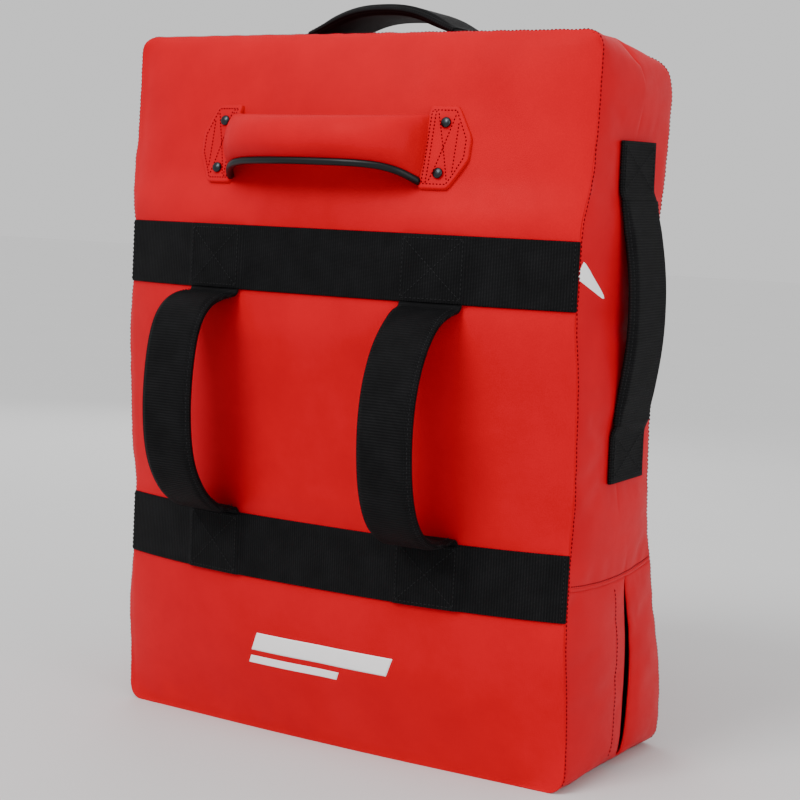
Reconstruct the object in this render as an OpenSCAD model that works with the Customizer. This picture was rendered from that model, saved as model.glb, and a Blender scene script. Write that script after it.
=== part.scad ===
// Padded kick shield: foam block in a sewn leather cover, with webbing arm loops,
// carry handles and a padded grip. Millimetres, +Z up, the holder's face toward -Y,
// origin at the middle of the base.

/* [Body] */
// Width across the holder face, side seam to side seam
pad_w = 406; // [380:1:430]
// Height of the shield
pad_h = 550; // [540:1:560]
// How far the middle of the holder face stands out past its seams
holder_crown = 28; // [20:1:32]
// How far the middle of the strike face stands out past its seams
strike_crown = 18; // [10:1:24]
// Round of the corners seen from the holder's side
corner_r = 24; // [18:1:28]

/* [Cover] */
// Thickness of the leather cover
skin_t = 2; // [1.6:0.1:2.4]
// Height of the seam that joins the upper and lower side walls
wall_seam_z = 154; // [140:1:170]
// Where the closure slit runs, measured from the middle of the base
slit_y = 6; // [0:1:12]
// Width of the closure slit
slit_w = 3; // [2:0.5:5]
// Width of the hook and loop tapes in the closure
tape_w = 25; // [20:1:30]

/* [Foam] */
// Thickness of the firm sheet behind the holder face
holder_foam_t = 22; // [15:1:30]
// Thickness of the soft sheet behind the strike face
strike_foam_t = 30; // [20:1:40]

/* [Webbing] */
// Width of the bands and arm loops
webbing_w = 50; // [40:1:50]
// Thickness of one layer of webbing
webbing_t = 2; // [1.5:0.1:2.4]
// Height of the middle of the upper band
upper_band_z = 381; // [376:1:385]
// Height of the middle of the lower band
lower_band_z = 155; // [150:1:158]

/* [Arm loops] */
// Distance of each arm loop from the middle
loop_x = 98; // [85:1:110]
// How far an arm loop stands out from the holder face
loop_bulge = 58; // [50:1:70]
// Thickness of the foam strip inside an arm loop
loop_foam_t = 4; // [3:0.5:5]
// Distance from a band to the cut where the free part of a loop begins
loop_root_h = 14; // [12:1:20]

/* [Carry handles] */
// Width of the carry handles
handle_w = 60; // [50:1:66]
// Thickness of the foam inside a carry handle
handle_foam_t = 4; // [3:0.5:5]
// Where the carry handles lie across the side and top walls
handle_y = -29; // [-34:1:-24]
// Height of the middle of the side handles
side_handle_z = 356; // [350:1:362]
// Half the free length of a side handle
side_handle_half = 85; // [75:1:90]
// How far a side handle stands out
side_handle_bulge = 22; // [20:1:30]
// Lean of the side handles, which follow the slope of the cover
side_handle_lean = 2.3; // [0:0.1:3]
// Half the free length of the top handle
top_handle_half = 69; // [60:1:80]
// How far the top handle stands up
top_handle_rise = 34; // [32:1:42]
// Offset of the top handle from the middle
top_handle_x = -8; // [-10:1:10]

/* [Grip] */
// Height of the padded grip
grip_z = 468; // [465:1:475]
// Offset of the padded grip from the middle
grip_x = -8; // [-10:1:10]
// Half the length of the grip between its anchor patches
grip_half = 86; // [80:1:92]
// How far the middle line of the grip stands out from the holder face
grip_bulge = 30; // [28:1:36]
// Height of the grip's round section at its middle
grip_section_h = 36; // [32:1:38]
// Depth of the grip's section at its middle
grip_section_d = 24; // [22:1:28]
// Radius of a rivet head
rivet_r = 4; // [3.5:0.1:4.5]
// Radius of the piping cord
piping_r = 2.4; // [2:0.1:3]

/* [Hidden] */
gap = 0.3;
foam_inset = 2 * gap + skin_t;
base_foam_inset = 7;
tape_t = 1;
tongue_t = 1.4;
round_fn = 32;

// The cover's seams seen from the side: height, holder seam, strike seam
SEAMS = [
    [0, -86, 86], [40, -89, 84], [125, -98, 60], [185, -98, 40], [230, -102, 29],
    [290, -107, 24], [350, -112, 18], [412, -112, 22], [450, -102, 27], [480, -99, 30],
    [520, -98, 32], [535, -98, 27], [545, -99, 18], [550, -99, 4],
];
HOLDER_SEAM = [for (p = SEAMS) [p[0] * pad_h / 550, p[1]]];
STRIKE_SEAM = [for (p = SEAMS) [p[0] * pad_h / 550, p[2]]];

// Half the width of the face at a height, with the corner round taken off
function half_w(z, inset = 0) =
    let (r = corner_r - inset, drop = max(0, corner_r - min(z, pad_h - z)))
    pad_w / 2 - corner_r + sqrt(max(0, r * r - drop * drop));

function crown(s, z) = (1 - pow(abs(s), 2.6)) * (1 - pow(abs(2 * z / pad_h - 1), 5));
function holder_y(s, z) = lookup(z, HOLDER_SEAM) - holder_crown * crown(s, z);
function strike_y(s, z) = lookup(z, STRIKE_SEAM) + strike_crown * crown(s, z);

// Place of the holder face at a point x, z
function face_y(x, z) = holder_y(x / half_w(z), z);

// Heights of the cover's rows of points: the seams' own, and three more round a corner
ROWS = concat([0, 4, 10, 24], [for (p = HOLDER_SEAM) if (p[0] > 24) p[0]]);
COLUMNS = [for (k = [-6:6]) sin(15 * k)];

// A closed sheet between two surfaces, each a function of s (-1 to 1) across and z up
module slab(front, back, side_inset = 0, base_inset = 0) {
    zs = [for (row = ROWS) min(max(row, base_inset), pad_h - side_inset)];
    rows = [for (i = [0:len(zs) - 1]) if (i == 0 || zs[i] > zs[i - 1] + 0.1) zs[i]];
    nx = len(COLUMNS);
    nz = len(rows);
    function points(depth) = [
        for (z = rows, s = COLUMNS) [s * half_w(z, side_inset), depth(s, z), z]
    ];
    size = nx * nz;
    function quad(a, b, c, d) = [[a, b, c], [a, c, d]];
    front_faces = [
        for (i = [0:nz - 2], k = [0:nx - 2])
            let (a = i * nx + k)
            each quad(a, a + nx, a + nx + 1, a + 1)
    ];
    back_faces = [for (f = front_faces) [f[2] + size, f[1] + size, f[0] + size]];
    rim = concat(
        [for (k = [0:nx - 1]) k],
        [for (i = [1:nz - 1]) i * nx + nx - 1],
        [for (k = [nx - 2:-1:0]) (nz - 1) * nx + k],
        [for (i = [nz - 2:-1:1]) i * nx]
    );
    rim_faces = [
        for (i = [0:len(rim) - 1])
            let (a = rim[i], b = rim[(i + 1) % len(rim)])
            each quad(a, b, b + size, a + size)
    ];
    polyhedron(
        points = concat(points(front), points(back)),
        faces = concat(front_faces, back_faces, rim_faces)
    );
}

// A flat strip's outline: a centre line pushed out to two offsets along its normals
function unit(v) = v / norm(v);
function normal(line, i) =
    let (a = line[max(i - 1, 0)], b = line[min(i + 1, len(line) - 1)], t = unit(b - a))
    [-t[1], t[0]];
function offset_line(line, d) = [for (i = [0:len(line) - 1]) line[i] + d * normal(line, i)];
function reversed(list) = [for (i = [len(list) - 1:-1:0]) list[i]];
module strip(line, inner, outer) {
    polygon(concat(offset_line(line, inner), reversed(offset_line(line, outer))));
}

// A square with rounded corners, drawn with true arcs
module round_rect(inset) {
    r = corner_r - inset;
    half = pad_w / 2 - inset;
    low = inset;
    high = pad_h - inset;
    translate([-half, low + r]) square([2 * half, high - low - 2 * r]);
    translate([r - half, low]) square([2 * (half - r), high - low]);
    for (x = [r - half, half - r], z = [low + r, high - r])
        translate([x, z]) circle(r, $fn = round_fn);
}

// The side wall: a ring of the face's outline, from one depth to another
module wall_ring(outer, inner) {
    rotate([90, 0, 0]) linear_extrude(400, center = true) difference() {
        round_rect(outer);
        round_rect(inner);
    }
}

// The space between two side profiles, wide enough for the whole shield
module between(front, back, low, high) {
    front_line = [for (p = front) if (p[0] > low && p[0] < high) [p[1], p[0]]];
    back_line = [for (p = back) if (p[0] > low && p[0] < high) [p[1], p[0]]];
    rotate([90, 0, 90]) linear_extrude(pad_w + 20, center = true) polygon(concat(
        [[lookup(low, front), low]], front_line, [[lookup(high, front), high]],
        [[lookup(high, back), high]], reversed(back_line), [[lookup(low, back), low]]
    ));
}
function shifted(table, d) = [for (p = table) [p[0], p[1] + d]];
function straight(y) = [[-1, y], [pad_h + 1, y]];
holder_edge = shifted(HOLDER_SEAM, skin_t + gap);
strike_edge = shifted(STRIKE_SEAM, -skin_t - gap);

// ---- cover ----

module leather() {
    color("firebrick") children();
}

module holder_panel() {
    leather() difference() {
        slab(function(s, z) holder_y(s, z), function(s, z) holder_y(s, z) + skin_t);
        rivet_holes();
    }
}

module strike_panel() {
    leather() slab(function(s, z) strike_y(s, z) - skin_t, function(s, z) strike_y(s, z));
}

module upper_wall() {
    leather() intersection() {
        wall_ring(0, skin_t);
        between(holder_edge, strike_edge, wall_seam_z + gap, pad_h);
    }
}

module lower_wall() {
    leather() intersection() {
        wall_ring(0, skin_t);
        between(holder_edge, straight(slit_y - slit_w / 2), 0, wall_seam_z);
    }
}

// The rear strip steps inward and runs under the front one, where the tapes hold it
tongue_out = skin_t + 2 * tape_t + 2 * gap;
tongue_in = tongue_out + tongue_t;
slit_end = slit_y + slit_w / 2;
module closure_strip() {
    leather() {
        intersection() {
            wall_ring(0, skin_t);
            between(straight(slit_end), strike_edge, 0, wall_seam_z);
        }
        intersection() {
            wall_ring(0, tongue_in);
            between(straight(slit_end), straight(slit_end + skin_t), 0, wall_seam_z);
        }
        intersection() {
            wall_ring(tongue_out, tongue_in);
            between(straight(slit_end - tape_w), straight(slit_end + skin_t), 0, wall_seam_z);
        }
    }
}

module closure_tape(inset) {
    tape_start = slit_end - tape_w;
    color("black") intersection() {
        wall_ring(inset, inset + tape_t);
        between(straight(tape_start), straight(tape_start + tape_w - gap), 0, wall_seam_z);
    }
}
module hook_tape() {
    closure_tape(skin_t + gap / 2);
}
module loop_tape() {
    closure_tape(skin_t + tape_t + gap);
}

// ---- foam ----

function holder_split(z) = lookup(z, HOLDER_SEAM) + holder_foam_t;
function strike_split(z) = lookup(z, STRIKE_SEAM) - strike_foam_t;

module foam(front, back) {
    color("wheat") slab(front, back, foam_inset, base_foam_inset);
}

module holder_foam() {
    difference() {
        foam(
            function(s, z) holder_y(s, z) + skin_t + gap,
            function(s, z) max(holder_split(z), holder_y(s, z) + 2 * skin_t)
        );
        rivet_pockets();
        tongue_room();
    }
}

module core_foam() {
    difference() {
        foam(
            function(s, z) max(holder_split(z), holder_y(s, z) + 2 * skin_t) + gap,
            function(s, z) strike_split(z)
        );
        tongue_room();
    }
}

module strike_foam() {
    foam(
        function(s, z) strike_split(z) + gap,
        function(s, z) strike_y(s, z) - skin_t - gap
    );
}

// Room in the foam for the closure's tongue
module tongue_room() {
    intersection() {
        wall_ring(-1, tongue_in + gap);
        between(straight(slit_end - tape_w - gap), straight(slit_end + skin_t + gap), -1, wall_seam_z + gap);
    }
}

// ---- bands ----

// Stations across the holder face: even steps, with the edges of the sewn tabs added
tab_low = loop_x - webbing_w / 2 - 1;
tab_high = loop_x + webbing_w / 2 + 1;
step = 1.5;
band_side = [
    0, 30, tab_low - step, tab_low, loop_x, tab_high, tab_high + step,
    150, 170, 185, pad_w / 2 - 8, pad_w / 2,
];
band_xs = concat([for (i = [len(band_side) - 1:-1:1]) -band_side[i]], band_side);
tab_t = 2 * webbing_t;
lift = 0.4;
function on_tab(x) = abs(x) >= tab_low && abs(x) <= tab_high;
function plain_face(x, z) = lookup(z, HOLDER_SEAM) - holder_crown * (1 - pow(abs(2 * x / pad_w), 2.6));
function band_line(z) = [
    for (x = band_xs) [x, plain_face(x, z) - lift - (on_tab(x) ? tab_t + lift : 0)]
];

module band(z) {
    line = band_line(z);
    color("black") translate([0, 0, z - webbing_w / 2]) linear_extrude(webbing_w)
        polygon(concat(line, [for (p = reversed(line)) [p[0], p[1] - webbing_t]]));
}
module upper_band() {
    band(upper_band_z);
}
module lower_band() {
    band(lower_band_z);
}

// ---- arm loops ----

band_half = webbing_w / 2;
loop_t = 2 * webbing_t + loop_foam_t;
loop_top = upper_band_z - band_half - loop_t / 2 - 1;
loop_bottom = lower_band_z + band_half + loop_t / 2 + 1;
loop_high_cut = loop_top - loop_root_h + loop_t / 2;
loop_low_cut = loop_bottom + loop_root_h - loop_t / 2;
loop_steps = 24;

// The middle line of a loop from the side: half an ellipse whose ends lie on the face
function loop_line() = [
    for (i = [0:loop_steps])
        let (
            turn = 180 * i / loop_steps,
            down = (1 - cos(turn)) / 2,
            z = loop_top + (loop_bottom - loop_top) * down,
            root = (1 - down) * plain_face(tab_low, loop_top) + down * plain_face(tab_low, loop_bottom)
        )
        [root - lift - (loop_bulge - loop_t / 2) * sin(turn), z]
];

// A layer of an arm loop, cut to the heights between low and high
module loop_layer(side, inner, outer, low, high) {
    translate([side * loop_x - webbing_w / 2, 0, 0]) rotate([90, 0, 90])
        linear_extrude(webbing_w) intersection() {
            strip(loop_line(), inner, outer);
            translate([-400, low]) square([400, high - low]);
        }
}
module loop_free(side, inner, outer) {
    loop_layer(side, inner, outer, loop_low_cut + gap, loop_high_cut - gap);
}
module loop_outer(side) {
    color("black") loop_free(side, -loop_t / 2, webbing_t - loop_t / 2);
}
module loop_foam(side) {
    color("dimgray") loop_free(side, webbing_t - loop_t / 2, loop_t / 2 - webbing_t);
}
module loop_inner(side) {
    color("black") loop_free(side, loop_t / 2 - webbing_t, loop_t / 2);
}

// The sewn ends: a flat tab under the band, and the root of the loop that leaves it
module loop_tab(side, low, high, z) {
    line = [for (x = [-26:13:26]) [loop_x + x * webbing_w / 52, 0]];
    face = [for (p = line) [p[0], plain_face(p[0], z) - lift]];
    shape = concat(face, [for (p = reversed(face)) [p[0], p[1] - tab_t]]);
    translate([0, 0, low]) linear_extrude(high - low)
        scale([side, 1]) polygon(shape);
}
module loop_ends(side) {
    color("black") {
        loop_layer(side, -loop_t / 2, loop_t / 2, loop_high_cut, loop_top + loop_t);
        loop_tab(side, loop_top - loop_t / 2, upper_band_z + band_half - 2, upper_band_z);
        loop_layer(side, -loop_t / 2, loop_t / 2, loop_bottom - loop_t, loop_low_cut);
        loop_tab(side, lower_band_z - band_half + 2, loop_bottom + loop_t / 2, lower_band_z);
    }
}

module arm_loop_left_outer() {
    loop_outer(-1);
}
module arm_loop_left_foam() {
    loop_foam(-1);
}
module arm_loop_left_inner() {
    loop_inner(-1);
}
module arm_loop_left_ends() {
    loop_ends(-1);
}
module arm_loop_right_outer() {
    loop_outer(1);
}
module arm_loop_right_foam() {
    loop_foam(1);
}
module arm_loop_right_inner() {
    loop_inner(1);
}
module arm_loop_right_ends() {
    loop_ends(1);
}

// ---- carry handles ----

handle_t = 2 * webbing_t + handle_foam_t;
patch_l = 41;
cut_share = 0.56;
handle_steps = 20;

// The middle line of a handle that arches over a flat wall: along, then out
function handle_line(half, rise, power) = [
    for (i = [0:handle_steps])
        let (t = 2 * i / handle_steps - 1)
        [half * t, handle_t / 2 + gap + (rise - handle_t - gap) * (1 - pow(abs(t), power))]
];

module handle_layer(half, rise, power, inner, outer, low, high) {
    linear_extrude(handle_w, center = true) intersection() {
        strip(handle_line(half, rise, power), inner, outer);
        translate([low, 0]) square([high - low, rise + 10]);
    }
}

// The sewn ends of a handle, with the roots of the arch outside the cut
module handle_ends(half, rise, power, cut) {
    color("black") {
        for (way = [-1, 1]) {
            low = way < 0 ? -half : cut;
            handle_layer(half, rise, power, -handle_t / 2, handle_t / 2, low, low + half - cut);
            translate([way * (half + patch_l / 2 - 4), gap + handle_t / 4])
                cube([patch_l + 8, handle_t / 2, handle_w], center = true);
        }
    }
}
module handle_free(half, rise, power, cut, inner, outer) {
    handle_layer(half, rise, power, inner, outer, gap - cut, cut - gap);
}

// A side handle lies along the wall's height; a top handle lies across the top
module on_side(side) {
    translate([side * pad_w / 2, handle_y, side_handle_z])
        rotate([side_handle_lean, 0, 0])
            scale([side, 1, 1]) rotate([90, 0, 0]) rotate([0, 0, -90]) mirror([1, 0, 0])
                children();
}
module on_top() {
    translate([top_handle_x, handle_y, pad_h]) rotate([90, 0, 0]) children();
}

side_power = 2.2;
top_power = 2.5;
side_cut = side_handle_half * cut_share;
top_cut = top_handle_half * 0.8;

module side_free(side, inner, outer) {
    on_side(side)
        handle_free(side_handle_half, side_handle_bulge, side_power, side_cut, inner, outer);
}
module side_ends(side) {
    on_side(side) handle_ends(side_handle_half, side_handle_bulge, side_power, side_cut);
}
module top_free(inner, outer) {
    on_top() handle_free(top_handle_half, top_handle_rise, top_power, top_cut, inner, outer);
}

module side_handle_left_sleeve() {
    color("black") side_free(-1, handle_t / 2 - webbing_t, handle_t / 2);
}
module side_handle_left_foam() {
    color("dimgray") side_free(-1, webbing_t - handle_t / 2, handle_t / 2 - webbing_t);
}
module side_handle_left_webbing() {
    color("black") side_free(-1, -handle_t / 2, webbing_t - handle_t / 2);
}
module side_handle_left_ends() {
    side_ends(-1);
}
module side_handle_right_sleeve() {
    color("black") side_free(1, handle_t / 2 - webbing_t, handle_t / 2);
}
module side_handle_right_foam() {
    color("dimgray") side_free(1, webbing_t - handle_t / 2, handle_t / 2 - webbing_t);
}
module side_handle_right_webbing() {
    color("black") side_free(1, -handle_t / 2, webbing_t - handle_t / 2);
}
module side_handle_right_ends() {
    side_ends(1);
}
module top_handle_sleeve() {
    color("black") top_free(handle_t / 2 - webbing_t, handle_t / 2);
}
module top_handle_foam() {
    color("dimgray") top_free(webbing_t - handle_t / 2, handle_t / 2 - webbing_t);
}
module top_handle_webbing() {
    color("black") top_free(-handle_t / 2, webbing_t - handle_t / 2);
}
module top_handle_ends() {
    on_top() handle_ends(top_handle_half, top_handle_rise, top_power, top_cut);
}

// ---- padded grip ----

anchor_t = 3;
anchor_half_h = 30;
anchor_inner = grip_half;
anchor_outer = grip_half + 22;
anchor_tip = grip_half + 36;
grip_root = grip_half - 8;
grip_steps = 20;
section_steps = 16;
cover_t = 2;
rivet_x = grip_half + 15;
rivet_drop = 19;
rivet_places = [for (x = [-rivet_x, rivet_x], z = [-rivet_drop, rivet_drop]) [x, z]];
shank_r = 1.6;
hole_r = 2;
washer_r = 6;

// The grip is built upright on the line y = 0, then leaned back onto the face
grip_face_y = face_y(rivet_x, grip_z);
grip_rise = face_y(rivet_x, grip_z + anchor_half_h) - face_y(rivet_x, grip_z - anchor_half_h);
grip_lean = atan(grip_rise / (2 * anchor_half_h));
module on_face() {
    translate([grip_x, grip_face_y, grip_z]) rotate([-grip_lean, 0, 0]) children();
}
function local_face(x) = (face_y(x + grip_x, grip_z) - grip_face_y) * cos(grip_lean);

// Place and half sizes of the grip's section at x: it flattens toward its ends
function grip_t(x) = 1 - pow(abs(x / (grip_half + 6)), 2.6);
function grip_y(x) = local_face(x) - 4 - (grip_bulge - 4) * grip_t(x);
function grip_half_d(x) = 3 + (grip_section_d / 2 - 3) * sqrt(grip_t(x));
function grip_half_h(x) = grip_section_h / 2 + 3 * (1 - grip_t(x));

// A closed tube from rings of points
module tube(points, sides, steps) {
    walls = [
        for (i = [0:steps - 1], k = [0:sides - 1])
            let (a = i * sides + k, b = i * sides + (k + 1) % sides)
            each [[a, b, a + sides], [b, b + sides, a + sides]]
    ];
    first = [for (k = [sides - 1:-1:0]) k];
    last = [for (k = [0:sides - 1]) steps * sides + k];
    polyhedron(points = points, faces = concat(walls, [first, last]));
}

// The padded tube along x between two ends, shrunk by a margin
module grip_tube(low, high, shrink) {
    points = [
        for (i = [0:grip_steps], k = [0:section_steps - 1])
            let (
                x = low + (high - low) * i / grip_steps,
                turn = 360 * k / section_steps
            )
            [
                x,
                grip_y(x) - (grip_half_d(x) - shrink) * cos(turn),
                (grip_half_h(x) - shrink) * sin(turn),
            ]
    ];
    on_face() tube(points, section_steps, grip_steps);
}

module grip_cover() {
    leather() difference() {
        grip_tube(gap - grip_root, grip_root - gap, 0);
        grip_tube(-grip_root, grip_root, cover_t);
    }
}

module grip_core() {
    color("wheat") grip_tube(1 - grip_root, grip_root - 1, cover_t + gap);
}

// The cord lies just under the grip's lower edge
module grip_piping() {
    sides = 8;
    reach = grip_root - 6;
    points = [
        for (i = [0:grip_steps], k = [0:sides - 1])
            let (
                x = -reach + 2 * reach * i / grip_steps,
                turn = 360 * k / sides
            )
            [
                x,
                grip_y(x) - piping_r * cos(turn),
                -grip_half_h(x) - piping_r - gap + piping_r * sin(turn),
            ]
    ];
    color("black") on_face() tube(points, sides, grip_steps);
}

// A patch sewn and riveted to the face
module anchor_patch(side) {
    xs = [for (i = [0:6]) anchor_inner - 1 + (anchor_tip + 2 - anchor_inner) * i / 6];
    face = [for (x = xs) [x, local_face(side * x) - lift]];
    scale([side, 1, 1]) intersection() {
        linear_extrude(3 * anchor_half_h, center = true)
            polygon(concat(face, [for (p = reversed(face)) [p[0], p[1] - anchor_t]]));
        rotate([90, 0, 0]) linear_extrude(200, center = true) polygon([
            [anchor_inner, -anchor_half_h],
            [anchor_outer, -anchor_half_h],
            [anchor_tip, -anchor_half_h / 2],
            [anchor_tip, anchor_half_h / 2],
            [anchor_outer, anchor_half_h],
            [anchor_inner, anchor_half_h],
        ]);
    }
}

// The flattened root of the padded tube is sewn to its patch
module grip_anchor(side) {
    root_end = anchor_inner + 4;
    leather() difference() {
        union() {
            on_face() anchor_patch(side);
            if (side > 0) grip_tube(grip_root, root_end, 0);
            else grip_tube(-root_end, -grip_root, 0);
        }
        rivet_holes();
    }
}
module grip_anchor_left() {
    grip_anchor(-1);
}
module grip_anchor_right() {
    grip_anchor(1);
}

// A cylinder at a rivet, from one depth behind the face outward
module rivet_bar(place, r, depth, length) {
    translate([place[0], local_face(place[0]) + depth, place[1]]) rotate([90, 0, 0])
        cylinder(r = r, h = length, $fn = round_fn);
}
module rivet_holes() {
    on_face() for (place = rivet_places) rivet_bar(place, hole_r, 14, 30);
}
module rivet_pockets() {
    on_face() for (place = rivet_places) rivet_bar(place, washer_r + 1.5, 9, 12);
}
head_out = lift + anchor_t + 0.5;
washer_in = skin_t + 1.8;
burr_in = washer_in + 3;
module rivets(side) {
    color("slategray") on_face() for (place = rivet_places) if (place[0] * side > 0) {
        rivet_bar(place, shank_r, burr_in, burr_in + head_out + 0.5);
        translate([place[0], local_face(place[0]) - head_out, place[1]])
            rotate([90, 0, 0]) rotate_extrude($fn = round_fn) polygon([
                [0, 0], [rivet_r, 0], [rivet_r, 0.6],
                for (a = [15:15:90]) [rivet_r * cos(a), 0.6 + 1.8 * sin(a)],
            ]);
        rivet_bar(place, shank_r + 1, burr_in, 1);
    }
}
module grip_rivets_left() {
    rivets(-1);
}
module grip_rivets_right() {
    rivets(1);
}
module grip_washers() {
    color("slategray") on_face() for (place = rivet_places) difference() {
        rivet_bar(place, washer_r, washer_in + 1.5, 1.5);
        rivet_bar(place, hole_r, washer_in + 5, 10);
    }
}

holder_panel();
strike_panel();
upper_wall();
lower_wall();
closure_strip();
hook_tape();
loop_tape();
holder_foam();
core_foam();
strike_foam();
upper_band();
lower_band();
arm_loop_left_outer();
arm_loop_left_foam();
arm_loop_left_inner();
arm_loop_left_ends();
arm_loop_right_outer();
arm_loop_right_foam();
arm_loop_right_inner();
arm_loop_right_ends();
side_handle_left_sleeve();
side_handle_left_foam();
side_handle_left_webbing();
side_handle_left_ends();
side_handle_right_sleeve();
side_handle_right_foam();
side_handle_right_webbing();
side_handle_right_ends();
top_handle_sleeve();
top_handle_foam();
top_handle_webbing();
top_handle_ends();
grip_cover();
grip_core();
grip_piping();
grip_anchor_left();
grip_anchor_right();
grip_rivets_left();
grip_rivets_right();
grip_washers();
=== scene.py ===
"""Padded kick shield: leather cover, webbing bands, arm loops, carry handles and a padded grip."""

import math

import bmesh
import bpy
import numpy as np
from mathutils import Matrix, Vector
from mathutils.bvhtree import BVHTree


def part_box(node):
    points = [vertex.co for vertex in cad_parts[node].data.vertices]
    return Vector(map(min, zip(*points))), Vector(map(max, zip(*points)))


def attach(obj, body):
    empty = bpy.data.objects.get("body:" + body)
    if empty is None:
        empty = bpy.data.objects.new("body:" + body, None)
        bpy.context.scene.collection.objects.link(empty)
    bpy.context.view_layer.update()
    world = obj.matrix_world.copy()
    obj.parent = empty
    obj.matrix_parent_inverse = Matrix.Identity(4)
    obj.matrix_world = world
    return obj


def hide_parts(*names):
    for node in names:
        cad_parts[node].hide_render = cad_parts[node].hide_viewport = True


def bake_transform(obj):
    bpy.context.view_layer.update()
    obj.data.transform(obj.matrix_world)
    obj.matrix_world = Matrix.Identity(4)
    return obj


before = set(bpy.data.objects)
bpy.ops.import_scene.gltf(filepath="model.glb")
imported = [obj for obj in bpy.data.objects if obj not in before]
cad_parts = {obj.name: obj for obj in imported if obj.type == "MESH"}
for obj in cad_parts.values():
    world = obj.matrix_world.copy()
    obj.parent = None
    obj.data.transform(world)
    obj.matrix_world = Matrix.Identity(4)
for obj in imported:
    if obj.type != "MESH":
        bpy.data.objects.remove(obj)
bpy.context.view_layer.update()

MM = 0.001

# -------------------- camera


def make_camera():
    """The photograph's view: a long lens, 31 degrees round and a little above the middle."""
    right = Vector((0.85044, 0.52346, 0.05247))
    up = Vector((-0.09189, 0.04960, 0.99453))
    back = Vector((0.51799, -0.85061, 0.09028))
    data = bpy.data.cameras.new("camera")
    data.sensor_width = 36
    data.lens = 79.26
    camera = bpy.data.objects.new("camera", data)
    turn = Matrix((right, up, back)).transposed().to_4x4()
    camera.matrix_world = Matrix.Translation((0.7472, -1.2383, 0.4006)) @ turn
    bpy.context.collection.objects.link(camera)
    bpy.context.scene.camera = camera


make_camera()

# -------------------- sizes

X, Z = 0, 2


def mid_of(name, axis):
    """The middle of a CAD node's box along an axis."""
    low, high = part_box(name)
    return (low[axis] + high[axis]) / 2


panel_low, panel_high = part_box("holder_panel")
PAD_W = panel_high.x - panel_low.x
PAD_H = panel_high.z
# About where the holder's face is
FACE_Y = -140 * MM
CORNER_R = 13 * MM
HOLDER_CROWN = 28 * MM
STRIKE_CROWN = 18 * MM
WALL_SEAM_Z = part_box("lower_wall")[1].z
SLIT_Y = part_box("lower_wall")[1].y + 1.5 * MM
BAND_HALF = 25 * MM
UPPER_BAND_Z = mid_of("upper_band", Z)
LOWER_BAND_Z = mid_of("lower_band", Z)
LOOP_X = mid_of("arm_loop_right_outer", X)
GRIP_Z = mid_of("grip_anchor_right", Z)
HANDLE_Z = mid_of("side_handle_right_ends", Z)

# The cover's seams seen from the side, in millimetres: height, holder seam, strike seam
SEAMS = [
    (0, -86, 86), (40, -89, 84), (125, -98, 60), (185, -98, 40), (230, -102, 29),
    (290, -107, 24), (350, -112, 18), (412, -112, 22), (450, -102, 27), (480, -99, 30),
    (520, -98, 32), (535, -98, 27), (545, -99, 18), (550, -98.5, 4),
]


def smooth_table(column):
    """A smooth curve through one column of SEAMS that never overshoots its points."""
    seams = np.array(SEAMS, float) * MM
    z, y = seams[:, 0] * PAD_H / seams[-1, 0], seams[:, column]
    step, rise = np.diff(z), np.diff(y)
    slope = rise / step
    m = np.zeros(len(z))
    for i in range(1, len(z) - 1):
        if slope[i - 1] * slope[i] > 0:
            a, b = 2 * step[i] + step[i - 1], step[i] + 2 * step[i - 1]
            m[i] = (a + b) / (a / slope[i - 1] + b / slope[i])
    m[0], m[-1] = slope[0], slope[-1]

    def at(height):
        h = np.clip(np.asarray(height, float), z[0], z[-1])
        i = np.clip(np.searchsorted(z, h, side="right") - 1, 0, len(z) - 2)
        t = (h - z[i]) / step[i]
        return (
            (1 + 2 * t) * (1 - t) ** 2 * y[i]
            + t * (1 - t) ** 2 * step[i] * m[i]
            + t * t * (3 - 2 * t) * y[i + 1]
            + t * t * (t - 1) * step[i] * m[i + 1]
        )

    return at


holder_seam = smooth_table(1)
strike_seam = smooth_table(2)


def half_w(z):
    """Half the width of the face at a height, with the corner round taken off."""
    drop = np.maximum(0, CORNER_R - np.minimum(z, PAD_H - z))
    return PAD_W / 2 - CORNER_R + np.sqrt(np.maximum(0, CORNER_R**2 - drop**2))


def crown(s, z):
    return (1 - np.abs(s) ** 2.6) * (1 - np.abs(2 * z / PAD_H - 1) ** 5)


def holder_y(s, z):
    return holder_seam(z) - HOLDER_CROWN * crown(s, z)


def strike_y(s, z):
    return strike_seam(z) + STRIKE_CROWN * crown(s, z)


def smooth_step(t):
    t = np.clip(t, 0, 1)
    return t * t * (3 - 2 * t)


def fade(distance, reach):
    """1 up to a distance of 0, falling to 0 over a reach."""
    return 1 - smooth_step(distance / reach)


# -------------------- materials


def shade(colour, share):
    return tuple(min(1, c * share) for c in colour)


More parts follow.
